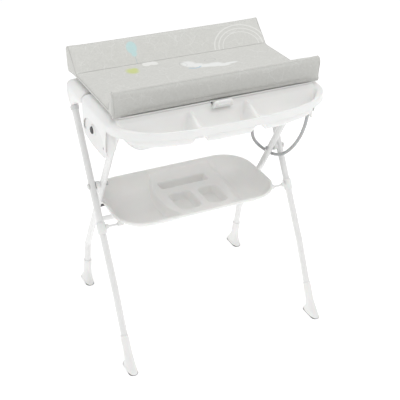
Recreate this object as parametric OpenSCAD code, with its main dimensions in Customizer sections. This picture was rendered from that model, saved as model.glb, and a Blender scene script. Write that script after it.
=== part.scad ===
// Folding bath and changing stand: padded changing top over a moulded bath tub,
// on crossed tube legs, with a moulded storage tray between them.
// Origin: on the floor, under the middle of the whole object. +X right, -Y front, +Z up.

/* [Leg frame] */
// Diameter of the leg tubes
tube_d = 24; // [20:1:26]
// Wall thickness of the leg tubes
tube_wall = 1.5; // [1:0.1:2]
// Distance of the front legs from the middle plane
front_leg_x = 370; // [366:1:374]
// Distance of the rear legs from the middle plane
rear_leg_x = 331; // [328:1:332]
// Front to back place of the crossing bolts
cross_y = 28; // [24:1:32]
// Height of the crossing bolts
cross_z = 578; // [570:1:586]
// Lean of the front legs above their bend, from upright
front_lean = 30; // [29:0.5:31]
// Lean of the rear legs above their bend, from upright
rear_lean = 31; // [30:0.5:32]
// Height of the bend in the front legs
front_bend_z = 260; // [230:5:280]
// Height of the bend in the rear legs
rear_bend_z = 200; // [180:5:230]
// Height of the tube that joins the rear legs under the tray
brace_z = 350; // [330:5:355]

/* [Feet] */
// Front to back place of the front feet
front_foot_y = -273; // [-280:1:-265]
// Front to back place of the rear feet
rear_foot_y = 294; // [285:1:300]
// Length of a foot's sole
foot_len = 92; // [80:1:96]
// Width of a foot's sole
foot_w = 38; // [34:1:38]
// Height of a foot's boot
foot_h = 114; // [100:1:120]

/* [Tub] */
// Half width of the tub's rim
tub_half_w = 383; // [380:1:385]
// Height of the rim's top
rim_z = 905; // [903:1:907]
// Height of the rim's front band
rim_band = 28; // [22:1:30]
// Wall thickness of the tub
tub_wall = 3; // [2.5:0.1:3.5]
// Depth of the bath basin below the rim
basin_depth = 184; // [170:2:190]
// How far the front of the rim bulges forward of its corners
front_bulge = 180; // [170:1:185]
// Depth of the front compartments
pocket_depth = 58; // [45:1:60]
// Middles of the two dividers between the front compartments
divider_x = [-112, 90]; // [-150:1:150]

/* [Pad] */
// Half length of the changing pad
pad_half_w = 367; // [355:1:370]
// Height of the pad's underside
pad_z = 925; // [924:1:928]
// Height of the bolsters' tops
pad_top_z = 1014; // [1000:1:1020]
// Thickness of the pad between the bolsters
pad_base = 12; // [10:1:20]

/* [Tray] */
// Half width of the storage tray
tray_half_w = 312; // [300:1:313]
// Height of the tray's rim
tray_z = 468; // [462:1:472]
// Depth of the tray's deep bowls
tray_depth = 52; // [40:1:54]

/* [Drain] */
// Place of the drain in the basin's floor
drain_at = [150, 20]; // [-10:1:160]
// Outer diameter of the drain hose
hose_d = 12; // [10:0.5:12.5]

/* [Hidden] */
$fn = 48;

RIGHT = 1;
LEFT = -1;
tube_r = tube_d / 2;
fit = 0.05;                       // radial clearance of a running pin
gap = 0.3;                        // clearance between bodies that pass each other
sole_t = 4;                       // rubber sole under each foot
bolt_r = 4;
bend_swell = 0.3;                 // how much a tube swells at its bend
bracket_x = [347, 383];           // inner and outer faces of the rear brackets
bracket_front_y = 53;
bracket_screw_y = [84, 140];
tub_rear_y = 226;
tub_rear_half_w = 340;            // the tub narrows between the rear brackets
tub_step_y = 47;                  // where it narrows
hinge = [190, 872];               // [y, z] of the tub's hinge
cross_tube_r = 10;
knuckle_x = [285, 305];
pocket_back_y = -207;
pocket_end_x = 342;
side_curve_y = -160;              // where the rim's sides begin to curve to the front
corner_power = 2.6;               // how square the rim's front corners are
lip_z = pad_z - 6;                // raised lip round the basin, under the pad
basin_top = [[-300, 300], [-194, 166]];
basin_floor = [[-240, 240], [-50, 106]];
basin_z = rim_z - basin_depth;
panel_x = [372, 378];
button = [-47, 825];              // [y, z] of the release buttons
button_r = 12;
tray_y = [-115, 252];
tray_wall = 3;
island_x = [-122, 172];           // sides of the tray's raised middle
island_z = tray_z - 14;
pocket_floor_z = tray_z - 46;
// rear slot and two pockets in the raised middle, each [x range, y range]
tray_pockets = [[[-76, 114], [106, 154]], [[-74, 10], [-60, 62]], [[42, 116], [-60, 60]]];
tray_hinge_z = 450;
tray_pin_r = 4;
pad_hinge = [232, 912];           // [y, z] of the pad's hinge
pad_pin_r = 3;
pad_ear_x = [-250, 250];
pad_y = [-212, 240];
latch_w = 76;
drain_r = 14;
drain_base_z = basin_z - 36;      // underside of the drain outlet
drain_nut_z = basin_z - 17;
hose_clip_z = [846, 860];
collar_z = [810, 822];
tray_clip_z = [432, 466];
arm_z = [764, 880];
arm_rivet_z = 784;
tray_peg_z = 444;
latch_tongue_z = [910.3, 916.7];

function front_leg_y(z) = cross_y + (z - cross_z) * tan(front_lean);
function rear_leg_y(z) = cross_y - (z - cross_z) * tan(rear_lean);
tray_hinge = [front_leg_y(tray_hinge_z), tray_hinge_z];
front_leg_path = [[front_foot_y, sole_t + 10], [front_leg_y(front_bend_z), front_bend_z],
    [front_leg_y(848), 848]];
rear_leg_path = [[rear_foot_y, sole_t + 10], [rear_leg_y(rear_bend_z), rear_bend_z],
    [rear_leg_y(862), 862]];

// Drain hose: from the outlet's spout, behind the right rear leg, down between the
// right legs and up to the clip under the rim's corner. [x, y, z] points on its line.
hose_route = [
    [191, 20, 694], [210, 22, 693], [231, 30, 686], [250, 43, 673], [266, 58, 655],
    [278, 75, 634], [289, 91, 611], [301, 102, 588], [316, 107, 566], [331, 100, 549],
    [345, 82, 538], [352, 57, 536], [352, 32, 543], [351, 7, 553], [351, -17, 565],
    [351, -41, 581], [351, -64, 600], [351, -86, 622], [351, -107, 646], [351, -126, 672],
    [351, -143, 699], [351, -157, 728], [351, -168, 758], [351, -175, 789], [351, -177, 820],
    [351, -177, 866]];

// ---- helpers ----

// children as drawn on the right, or mirrored to the left
module on(side) {
    if (side < 0) mirror([1, 0, 0]) children();
    else children();
}

module both() {
    children();
    mirror([1, 0, 0]) children();
}

// straight round bar at a constant x, between two [y, z] points
module bar(x, a, b, r) {
    d = b - a;
    translate([x, a[0], a[1]]) rotate([-atan2(d[0], d[1]), 0, 0]) cylinder(r = r, h = norm(d));
}

// round bar through a list of [y, z] points, a little thicker where it bends
module bent_bar(x, path, r) {
    for (i = [0:len(path) - 2]) bar(x, path[i], path[i + 1], r);
    for (i = [1:len(path) - 2]) translate([x, path[i][0], path[i][1]]) sphere(r = r + bend_swell);
}

// round bar along X between two x values
module pin_x(x, at, r) {
    translate([x[0], at[0], at[1]]) rotate([0, 90, 0]) cylinder(r = r, h = x[1] - x[0]);
}

// [y, z] outline made into a plate between two x values
module side_plate(x, outline) {
    translate([x[0], 0, 0]) rotate([90, 0, 90]) linear_extrude(x[1] - x[0]) polygon(outline);
}

module block(x, y, z) {
    translate([x[0], y[0], z[0]]) cube([x[1] - x[0], y[1] - y[0], z[1] - z[0]]);
}

function past_ends(path, by) = let (n = len(path) - 1,
    a = path[0] - path[1], b = path[n] - path[n - 1])
    [for (i = [0:n]) i == 0 ? path[0] + by * a / norm(a)
        : i == n ? path[n] + by * b / norm(b) : path[i]];

// outline of a rectangle with round corners
function rounded(x, y, r, steps = 8) = [for (c = [[x[1] - r, y[1] - r, 0],
    [x[0] + r, y[1] - r, 90], [x[0] + r, y[0] + r, 180], [x[1] - r, y[0] + r, 270]])
    for (i = [0:steps]) [c[0] + r * cos(c[2] + 90 * i / steps),
        c[1] + r * sin(c[2] + 90 * i / steps)]];

function grown(range, by) = [range[0] - by, range[1] + by];

// closed bowl shape between a floor outline and a wider top outline
module loft(floor_outline, z0, top_outline, z1) {
    hull() {
        translate([0, 0, z0]) linear_extrude(0.5) polygon(floor_outline);
        translate([0, 0, z1 - 0.5]) linear_extrude(0.5) polygon(top_outline);
    }
}

// tube swept along points: each ring faces the line through its neighbours
function direction(p, i) = let (d = p[min(i + 1, len(p) - 1)] - p[max(i - 1, 0)]) d / norm(d);
function across(d, last) = let (v = last - (last * d) * d) v / norm(v);
function ring_sides(p, i, first) = i == 0 ? across(direction(p, 0), first)
    : across(direction(p, i), ring_sides(p, i - 1, first));
module swept_tube(p, r, sides, first = [0, 1, 0]) {
    rings = [for (i = [0:len(p) - 1]) let (d = direction(p, i), u = ring_sides(p, i, first),
        v = cross(d, u)) for (k = [0:sides - 1])
        p[i] + r * (u * cos(360 * k / sides) + v * sin(360 * k / sides))];
    last = (len(p) - 1) * sides;
    walls = [for (i = [0:len(p) - 2]) for (k = [0:sides - 1]) let (n = (k + 1) % sides)
        each [[i * sides + k, i * sides + n, (i + 1) * sides + n],
            [i * sides + k, (i + 1) * sides + n, (i + 1) * sides + k]]];
    faces = concat(walls, [[for (k = [0:sides - 1]) sides - 1 - k]],
        [[for (k = [0:sides - 1]) last + k]]);
    polyhedron(rings, [for (f = faces) [for (k = [len(f) - 1:-1:0]) f[k]]]);
}

// coil spring along X
module coil(x, at, r, wire_r, turns) {
    steps = 12;
    n = turns * steps;
    swept_tube([for (i = [0:n]) [x[0] + (x[1] - x[0]) * i / n,
        at[0] + r * cos(360 * i / steps), at[1] + r * sin(360 * i / steps)]],
        wire_r, 6, [1, 0, 0]);
}

// ---- leg frame ----

module leg(x, path) {
    difference() {
        bent_bar(x, path, tube_r);
        bent_bar(x, past_ends(path, 1), tube_r - tube_wall);
        pin_x([x - tube_d, x + tube_d], [cross_y, cross_z], bolt_r + fit);
    }
}

module front_leg(side) color("white") on(side) leg(front_leg_x, front_leg_path);
module rear_leg(side) color("white") on(side) leg(rear_leg_x, rear_leg_path);

function sole_outline(y, inset = 0) = rounded(grown([0, 0], foot_w / 2 - inset),
    grown([y, y], foot_len / 2 - inset), foot_w / 2 - inset);

// boot that the tube's lower end sits in
module foot(x, y, path) {
    t = (foot_h - path[0][1]) / (path[1][1] - path[0][1]);
    top = path[0] + t * (path[1] - path[0]);
    difference() {
        translate([x, 0, 0]) hull() {
            translate([0, 0, sole_t]) linear_extrude(8) polygon(sole_outline(y));
            translate([0, top[0], top[1] - 6]) cylinder(r = tube_r + 3, h = 6, $fn = 32);
        }
        bar(x, path[0], path[1], tube_r + 0.2);
    }
}

module front_foot(side) color("white") on(side) foot(front_leg_x, front_foot_y, front_leg_path);
module rear_foot(side) color("white") on(side) foot(rear_leg_x, rear_foot_y, rear_leg_path);

module soles(x, y) color("dimgray") both()
    translate([x, 0, 0]) linear_extrude(sole_t) polygon(sole_outline(y, 2));

// hinge bracket on top of a front leg; the tub's hinge tube runs between the two
module rear_bracket(side) color("whitesmoke") on(side) {
    outline = [[bracket_front_y, 902], [60, rim_z], [196, rim_z], [206, 896], [207, 866],
        [198, 846], [184, 830], [162, 828], [120, 856], [bracket_front_y, 878]];
    difference() {
        side_plate(bracket_x, outline);
        bar(front_leg_x, front_leg_path[1], front_leg_path[2] + [0.5, 0.9], tube_r + 0.2);
        pin_x([bracket_x[0] - 1, bracket_x[0] + 14], hinge, cross_tube_r + 0.1);
        for (y = bracket_screw_y) pin_x([bracket_x[0] - 1, bracket_x[0] + 2], [y, 886], 4.7);
    }
}

module rear_cross_tube() color("silver") difference() {
    pin_x(grown([0, 0], bracket_x[0] + 13), hinge, cross_tube_r);
    pin_x(grown([0, 0], bracket_x[0] + 14), hinge, cross_tube_r - tube_wall);
}

// ring that closes the bracket's socket round the tube
module tube_collars() color("lightgray") both() {
    a = [front_leg_y(collar_z[0]), collar_z[0]];
    b = [front_leg_y(collar_z[1]), collar_z[1]];
    difference() {
        bar(front_leg_x, a, b, tube_r + 3);
        bar(front_leg_x, past_ends([a, b], 1)[0], past_ends([a, b], 1)[1], tube_r + 0.2);
    }
}

// screw heads sunk in the brackets' inner faces
module bracket_screws() color("silver") both()
    for (y = bracket_screw_y) pin_x([bracket_x[0] + 0.3, bracket_x[0] + 2], [y, 886], 4.5);

module cross_bolt(side) color("silver") on(side) {
    pin_x([316, front_leg_x + tube_r + 1], [cross_y, cross_z], bolt_r);
    pin_x([front_leg_x + tube_r + 1, front_leg_x + tube_r + 5], [cross_y, cross_z], 9);
}

module cross_spacers() color("white") both() difference() {
    pin_x([rear_leg_x + tube_r + gap, front_leg_x - tube_r], [cross_y, cross_z], 13);
    pin_x([rear_leg_x, front_leg_x], [cross_y, cross_z], bolt_r + fit);
}

module cross_nuts() color("silver") both() difference() {
    pin_x([314.5, rear_leg_x - tube_r - gap], [cross_y, cross_z], 8);
    pin_x([313, rear_leg_x], [cross_y, cross_z], bolt_r + fit);
}

// clamp round the front leg, with the socket for the tray's hinge pin
module tray_clip(side) color("white") on(side) {
    a = [front_leg_y(tray_clip_z[0]), tray_clip_z[0]];
    b = [front_leg_y(tray_clip_z[1]), tray_clip_z[1]];
    difference() {
        union() {
            bar(front_leg_x, a, b, tube_r + 4);
            pin_x([front_leg_x - 25, front_leg_x - 8], tray_hinge, 9);
        }
        bar(front_leg_x, past_ends([a, b], 2)[0], past_ends([a, b], 2)[1], tube_r + 0.2);
        pin_x([front_leg_x - 26, front_leg_x], tray_hinge, tray_pin_r + fit);
    }
}

module leg_brace_tube() color("white") difference() {
    pin_x(grown([0, 0], rear_leg_x - 8), [rear_leg_y(brace_z), brace_z], 10);
    pin_x(grown([0, 0], rear_leg_x), [rear_leg_y(brace_z), brace_z], 10 - tube_wall);
    for (s = [LEFT, RIGHT]) on(s) bar(rear_leg_x, rear_leg_path[1], rear_leg_path[2],
        tube_r + 0.1);
}

// sleeve on top of a rear leg that carries the front of the tub
module support_arm(side) color("whitesmoke") on(side) {
    a = [rear_leg_y(arm_z[0]), arm_z[0]];
    b = [rear_leg_y(arm_z[1]), arm_z[1]];
    difference() {
        union() {
            bar(rear_leg_x, a, b, tube_r + 3);
            side_plate([rear_leg_x - 15, rear_leg_x + 15], [[-166, 897], [-132, 897],
                [-112, 850], [-122, 832], [-146, 832], [-166, 858]]);
        }
        bar(rear_leg_x, rear_leg_path[1], rear_leg_path[2] + [-0.3, 0.5], tube_r + 0.2);
    }
}

module arm_rivets() color("gray") both()
    pin_x([rear_leg_x + 15, rear_leg_x + 17], [rear_leg_y(arm_rivet_z), arm_rivet_z], 5);

module tray_rest_pegs() color("gray") both()
    pin_x([303, rear_leg_x - tube_r - 0.1], [rear_leg_y(tray_peg_z),
        tray_peg_z], 5);

// ---- tub ----

// plan outline of the rim: straight sides, bulging front, narrow between the brackets
function rim_front(t) = let (e = 2 / corner_power)
    [sign(cos(t)) * tub_half_w * pow(abs(cos(t)), e),
        side_curve_y - front_bulge * pow(sin(t), e)];
function rim_outline() = concat([for (t = [0:6:180]) rim_front(t)],
    [[-tub_half_w, tub_step_y], [-tub_rear_half_w, tub_step_y], [-tub_rear_half_w, tub_rear_y],
        [tub_rear_half_w, tub_rear_y], [tub_rear_half_w, tub_step_y],
        [tub_half_w, tub_step_y]]);

module pocket_plan(x, inset, wall) intersection() {
    offset(delta = wall - inset) polygon(rim_outline());
    translate([x[0] - wall, -400])
        square([x[1] - x[0] + 2 * wall, 400 + pocket_back_y + wall]);
}

// one front compartment, or with a wall the outside of all three
module pocket(x, wall, top = 2) {
    z0 = rim_z - pocket_depth - wall;
    hull() {
        translate([0, 0, z0]) linear_extrude(0.5) offset(delta = -12)
            pocket_plan(x, 14, wall);
        translate([0, 0, rim_z - 0.5]) linear_extrude(top) pocket_plan(x, 12, wall);
    }
}

function pocket_x(i) = [i == 0 ? -pocket_end_x : divider_x[i - 1] + 10,
    i == 2 ? pocket_end_x : divider_x[i] - 10];

// arch in the tub's side, open below round the side panel
function arch(y, z, steps) = [for (i = [0:steps]) let (t = 180 * i / steps)
    [y[0] + y[1] * (cos(t) >= 0 ? 1 : -1) * pow(abs(cos(t)), 0.7),
        z[0] + z[1] * pow(sin(t), 0.7)]];

module side_apron() side_plate([tub_half_w - tub_wall, tub_half_w],
    concat([[tub_step_y, rim_z - 1], [tub_step_y, 800]], arch([-61, 98], [790, 62], 16),
        [[-172, 800], [-178, 850], [-178, rim_z - 1]]));

// outer shape of the basin
module basin_body() loft(
    rounded(grown(basin_floor[0], tub_wall), grown(basin_floor[1], tub_wall), 60),
    basin_z - tub_wall,
    rounded(grown(basin_top[0], tub_wall), grown(basin_top[1], tub_wall), 60), lip_z);

// room in the basin's lip for the pad's latch
module latch_room() block([-34, 34], [-230, -150], [rim_z, rim_z + 30]);

// rim with its front band and side aprons; the basin and the compartments hang in it
module tub_rim() color("white") difference() {
    union() {
        translate([0, 0, rim_z - 4]) linear_extrude(4) polygon(rim_outline());
        translate([0, 0, rim_z - rim_band]) linear_extrude(rim_band) difference() {
            polygon(rim_outline());
            offset(delta = -tub_wall) polygon(rim_outline());
            translate([-tub_rear_half_w, tub_step_y + 3]) square([2 * tub_rear_half_w, 260]);
        }
        both() side_apron();
    }
    basin_body();
    pocket([-pocket_end_x, pocket_end_x], tub_wall);
}

module tub_basin() color("white") difference() {
    basin_body();
    loft(rounded(basin_floor[0], basin_floor[1], 57), basin_z,
        rounded(basin_top[0], basin_top[1], 57), lip_z + 1);
    translate([drain_at[0], drain_at[1], basin_z - 20]) cylinder(r = drain_r + 4.2, h = 40);
    latch_room();
}

module front_compartments() color("white") difference() {
    pocket([-pocket_end_x, pocket_end_x], tub_wall, 0.5);
    for (i = [0:2]) pocket(pocket_x(i), 0);
}

// panel below the tub's side that holds the release button
module side_panel(side) color("gainsboro") on(side) difference() {
    union() {
        side_plate(panel_x, [[43, rim_z - 4], [43, 870], [47, 850], [55, 815], [60, 792],
            [50, 772], [-30, 762], [-135, 764], [-160, 776], [-170, 800], [-170, rim_z - 4]]);
        pin_x([355, panel_x[0]], button, button_r + 5);
        pin_x([panel_x[1], panel_x[1] + 5], button, button_r + 7);
    }
    pin_x([357, panel_x[1] + 6], button, button_r + gap);
}

module panel_screws() color("silver") both()
    for (y = [30, -140]) pin_x([panel_x[1], panel_x[1] + 1.5], [y, 800], 4);

module release_button(side) color("dimgray") on(side)
    pin_x([panel_x[1] - 8, panel_x[1] + 8], button, button_r);

module button_spring(side) color("silver") on(side)
    coil([358, panel_x[1] - 9], button, 7, 0.8, 4);

// ear under the tub's rear edge that turns on the cross tube
module tub_hinge(side) color("whitesmoke") on(side) difference() {
    union() {
        pin_x(knuckle_x, hinge, 16);
        block(knuckle_x, [hinge[0] - 16, hinge[0] + 16], [hinge[1], rim_z - 4]);
    }
    pin_x(grown(knuckle_x, 1), hinge, cross_tube_r + fit);
}

// post beside each pad ear
module pad_hinge_posts() color("whitesmoke") difference() {
    for (x = pad_ear_x) for (s = [-1, 1]) {
        wide = [x + s * 12 - 5, x + s * 12 + 5];
        pin_x(wide, pad_hinge, 6.5);
        block(wide, [208, pad_hinge[0]], [rim_z, pad_hinge[1]]);
    }
    for (x = pad_ear_x) pin_x([x - 20, x + 20], pad_hinge, pad_pin_r + fit);
}

// ---- drain ----

module drain_outlet() color("lightgray") {
    spout_z = hose_route[0][2];
    difference() {
        union() {
            translate([drain_at[0], drain_at[1], drain_base_z]) cylinder(r = drain_r + 4,
                h = basin_z - drain_base_z);
            translate([drain_at[0], drain_at[1], basin_z]) cylinder(r = 28, h = 3);
            pin_x([drain_at[0], hose_route[0][0]], [drain_at[1], spout_z], 5);
            pin_x([drain_at[0], hose_route[0][0] - 6], [drain_at[1], spout_z], 7.5);
        }
        translate([drain_at[0], drain_at[1], drain_base_z + 3]) cylinder(r = drain_r, h = 60);
        pin_x([drain_at[0], hose_route[0][0] + 1], [drain_at[1], spout_z], 3.5);
    }
}

module drain_nut() color("lightgray") translate([drain_at[0], drain_at[1], drain_nut_z])
    difference() {
        cylinder(r = 27, h = basin_z - tub_wall - drain_nut_z, $fn = 6);
        translate([0, 0, -1]) cylinder(r = drain_r + 4.1, h = 30);
    }

module drain_plug() color("gray") translate([drain_at[0], drain_at[1], 0]) {
    translate([0, 0, basin_z - 9]) cylinder(r = drain_r - gap, h = 12 + gap);
    translate([0, 0, basin_z + 3 + gap]) cylinder(r = 20, h = 3);
    translate([0, 0, basin_z + 6]) difference() {
        translate([-7, -1.5, 0]) cube([14, 3, 12]);
        translate([0, -3, 6]) rotate([-90, 0, 0]) cylinder(r = 4, h = 6);
    }
}

module drain_hose() color("darkgray") swept_tube(hose_route, hose_d / 2, 10);

// holder under the rim for the hose's free end
module hose_clip() color("whitesmoke") {
    at = hose_route[len(hose_route) - 1];
    z = hose_clip_z;
    difference() {
        union() {
            translate([at[0], at[1], z[0]]) cylinder(r = 9, h = z[1] - z[0]);
            block([at[0] - 4, at[0] + 4], [at[1] - 15, at[1] - 8], [z[0], rim_z - 4]);
        }
        translate([at[0], at[1], z[0] - 6]) cylinder(r = hose_d / 2 + 0.1, h = 30);
    }
}

module hose_end_cap() color("white") {
    at = hose_route[len(hose_route) - 1];
    translate(at) cylinder(r = 7.5, h = 10);
    translate(at + [0, 0, 10]) cylinder(r = 4, h = 8);
}

// ---- pad ----

module pad_cushion() color("gainsboro") side_plate(grown([0, 0], pad_half_w),
    [[pad_y[0] + 4, pad_z], [pad_y[0], pad_z + 8], [pad_y[0] + 9, pad_top_z - 8],
        [pad_y[0] + 18, pad_top_z], [pad_y[0] + 30, pad_top_z - 8],
        [pad_y[0] + 56, pad_z + pad_base], [150, pad_z + pad_base], [212, pad_top_z - 6],
        [222, pad_top_z], [228, pad_top_z - 6], [pad_y[1], pad_z + 8], [pad_y[1] - 4, pad_z]]);

module pad_board() color("white") translate([0, 0, pad_z - 4])
    linear_extrude(4) polygon(rounded([-350, 350], [-204, 226], 20));

module pad_hinge_ears() color("white") difference() {
    for (x = pad_ear_x) {
        pin_x([x - 6, x + 6], pad_hinge, 6.5);
        block([x - 6, x + 6], [pad_hinge[0] - 6.5, pad_hinge[0]], [pad_hinge[1], pad_z - 4]);
        block([x - 6, x + 6], [pad_hinge[0] - 24, pad_hinge[0] - 2], [pad_z - 8, pad_z - 4]);
    }
    for (x = pad_ear_x) pin_x([x - 7, x + 7], pad_hinge, pad_pin_r);
}

module pad_hinge_pins() color("silver")
    for (x = pad_ear_x) pin_x([x - 18, x + 18], pad_hinge, pad_pin_r);

module latch_housing() color("white") difference() {
    block([-26, 26], [-204, -150], [907, pad_z - 4]);
    block([-18, 18], [-205, -153], grown(latch_tongue_z, gap));
}

// finger tab and tongue of the front latch; it slides forward to release
module pad_latch() color("whitesmoke") {
    block([-17.7, 17.7], [-214, -168], latch_tongue_z);
    difference() {
        block([-latch_w / 2, latch_w / 2], [-224, -214], [906, 932]);
        block([-latch_w / 2 + 8, latch_w / 2 - 8], [-225, -218], [912, 920]);
    }
}

module latch_spring() color("silver") translate([0, 0, 913.5]) rotate([0, 0, 90])
    coil([-167.5, -153.5], [0, 0], 2.2, 0.4, 5);

// ---- tray ----

// inside face of the tray's outer wall, from a floor height up
module tray_inside(z0) loft(
    rounded(grown([0, 0], tray_half_w - 40 - tray_wall), grown(tray_y, -38 - tray_wall),
        80 - tray_wall), z0,
    rounded(grown([0, 0], tray_half_w - 8 - tray_wall), grown(tray_y, -8 - tray_wall),
        102 - tray_wall), tray_z + 1);

module tray_bowl(x, y) intersection() {
    z0 = tray_z - tray_depth + tray_wall;
    tray_inside(z0);
    loft(rounded(grown(x, -26), grown(y, -26), 34), z0, rounded(x, y, 60), tray_z + 1);
}

// hollow under the raised middle of the tray, round the pockets that hang into it
module tray_underside() difference() {
    intersection() {
        tray_inside(tray_z - tray_depth - 1);
        block(grown(island_x, 1 - tray_wall), tray_y,
            [tray_z - tray_depth - 1, island_z - tray_wall]);
    }
    for (p = tray_pockets) block(grown(p[0], tray_wall), grown(p[1], tray_wall),
        [pocket_floor_z - tray_wall, island_z]);
}

module storage_tray() color("white") difference() {
    union() {
        loft(rounded(grown([0, 0], tray_half_w - 40), grown(tray_y, -38), 80),
            tray_z - tray_depth, rounded(grown([0, 0], tray_half_w - 8), grown(tray_y, -8), 102),
            tray_z);
        translate([0, 0, tray_z - 11]) linear_extrude(11)
            polygon(rounded(grown([0, 0], tray_half_w), tray_y, 110));
        both() pin_x([288, tray_half_w - 1], tray_hinge, 9);
    }
    for (x = [[-300, island_x[0]], [island_x[1], 300]]) tray_bowl(x, [-85, 232]);
    block(grown(island_x, 1), [-90, 232], [island_z, tray_z + 1]);
    for (p = tray_pockets) block(p[0], p[1], [pocket_floor_z, island_z + 1]);
    tray_underside();
    both() pin_x([293, tray_half_w], tray_hinge, tray_pin_r + fit);
}

module tray_pins() color("whitesmoke") both()
    pin_x([294, front_leg_x - tube_r - 0.6], tray_hinge, tray_pin_r);

// ---- nodes ----

front_leg(LEFT);  // left_front_leg
front_leg(RIGHT);  // right_front_leg
front_foot(LEFT);  // left_front_foot
front_foot(RIGHT);  // right_front_foot
soles(front_leg_x, front_foot_y);  // front_foot_soles
rear_bracket(LEFT);  // left_rear_bracket
rear_bracket(RIGHT);  // right_rear_bracket
rear_cross_tube();
tube_collars();
bracket_screws();
cross_bolt(LEFT);  // left_cross_bolt
cross_bolt(RIGHT);  // right_cross_bolt
cross_spacers();
cross_nuts();
tray_clip(LEFT);  // left_tray_clip
tray_clip(RIGHT);  // right_tray_clip
rear_leg(LEFT);  // left_rear_leg
rear_leg(RIGHT);  // right_rear_leg
rear_foot(LEFT);  // left_rear_foot
rear_foot(RIGHT);  // right_rear_foot
soles(rear_leg_x, rear_foot_y);  // rear_foot_soles
leg_brace_tube();
support_arm(LEFT);  // left_support_arm
support_arm(RIGHT);  // right_support_arm
arm_rivets();
tray_rest_pegs();
tub_rim();
tub_basin();
front_compartments();
side_panel(LEFT);  // left_side_panel
side_panel(RIGHT);  // right_side_panel
panel_screws();
tub_hinge(LEFT);  // left_tub_hinge
tub_hinge(RIGHT);  // right_tub_hinge
pad_hinge_posts();
release_button(LEFT);  // left_release_button
release_button(RIGHT);  // right_release_button
button_spring(LEFT);  // left_button_spring
button_spring(RIGHT);  // right_button_spring
drain_outlet();
drain_nut();
drain_plug();
drain_hose();
hose_clip();
hose_end_cap();
pad_cushion();
pad_board();
pad_hinge_ears();
pad_hinge_pins();
latch_housing();
pad_latch();
latch_spring();
storage_tray();
tray_pins();
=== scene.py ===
"""Folding bath and changing stand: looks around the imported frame. Lengths in mm become metres with MM."""

import math

import bmesh
import bpy
import numpy as np
from mathutils import Matrix, Vector
from mathutils.bvhtree import BVHTree


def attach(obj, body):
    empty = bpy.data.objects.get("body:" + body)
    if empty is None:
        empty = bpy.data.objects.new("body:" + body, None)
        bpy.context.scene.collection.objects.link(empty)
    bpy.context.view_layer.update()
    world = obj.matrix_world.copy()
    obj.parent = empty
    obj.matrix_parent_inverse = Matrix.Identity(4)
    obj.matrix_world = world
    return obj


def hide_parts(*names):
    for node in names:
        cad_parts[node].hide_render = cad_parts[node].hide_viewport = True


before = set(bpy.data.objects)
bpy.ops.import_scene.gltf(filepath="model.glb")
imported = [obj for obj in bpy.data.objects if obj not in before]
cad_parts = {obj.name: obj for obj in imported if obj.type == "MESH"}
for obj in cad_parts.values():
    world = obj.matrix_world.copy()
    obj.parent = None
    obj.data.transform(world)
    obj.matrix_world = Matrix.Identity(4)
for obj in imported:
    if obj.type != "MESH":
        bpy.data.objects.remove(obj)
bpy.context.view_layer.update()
MM = 0.001

# ---------------------------------------------------------------- driving sizes, mm

TUB_HALF_W = 383
RIM_Z = 905
BAND_Z = 877                     # lower edge of the rim's front band
SIDE_CURVE_Y = -160
FRONT_BULGE = 180
TUB_STEP_Y = 47
TUB_REAR_Y = 226
TUB_REAR_HALF_W = 340
WALL = 3
POCKET_BACK_Y = -205
POCKET_FLOOR_Z = 849
DIVIDERS = (-112, 90)
BASIN_TOP = (300, -194, 166)     # half width, front y, rear y
BASIN_FLOOR = (240, -50, 106)
BASIN_Z = 721
DECK_Z = 920                     # raised deck round the basin, under the pad
DECK_Y = (-206, 172)             # front and rear edges of the deck
RIM_POWER = 2.6                  # how square the bulging front's corners are; 2 is an ellipse
DIVIDER_LEAN = 7                 # how far the dividers lean to the left at the front
DIVIDER_DROP = 14                # how far their ridges fall towards the front
PAD_HALF_W = 367
PAD_Z = 925
TRAY_HALF_W = 313.5
TRAY_Y = (-115, 252)
TRAY_Z = 468
TRAY_DEPTH = 49
TRAY_POCKET_DEPTH = 45
CROSS = (28, 578)                # y, z of the crossing bolts
FRONT_LEG_X = 370
REAR_LEG_X = 331
FRONT_LEAN = 30                  # degrees from upright
REAR_LEAN = 31
TUBE_R = 12
HOSE_R = 6
BUTTON = (378, -47, 825)         # middle of the left release button's ring, mirrored for the right


def front_leg_y(z):
    return CROSS[0] + (z - CROSS[1]) * math.tan(math.radians(FRONT_LEAN))


def rear_leg_y(z):
    return CROSS[0] - (z - CROSS[1]) * math.tan(math.radians(REAR_LEAN))


# ---------------------------------------------------------------- camera

camera = bpy.data.objects.new("camera", bpy.data.cameras.new("camera"))
bpy.context.scene.collection.objects.link(camera)
bpy.context.scene.camera = camera
CAMERA_PLACE = (-1.149, -2.445, 2.024)
CAMERA_ROLL = math.radians(0.34)
CAMERA_LENS = 77.19
aim = Vector((0.37440, 0.77804, -0.50445)).normalized()
level = aim.cross(Vector((0, 0, 1))).normalized()
upright = level.cross(aim)
camera_right = level * math.cos(CAMERA_ROLL) + upright * math.sin(CAMERA_ROLL)
camera_up = upright * math.cos(CAMERA_ROLL) - level * math.sin(CAMERA_ROLL)
camera.matrix_world = Matrix.Translation(CAMERA_PLACE) @ Matrix(
    (camera_right, camera_up, -aim)).transposed().to_4x4()
camera.data.sensor_width = 36
camera.data.lens = CAMERA_LENS
camera.data.clip_end = 60


# ---------------------------------------------------------------- materials

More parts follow.
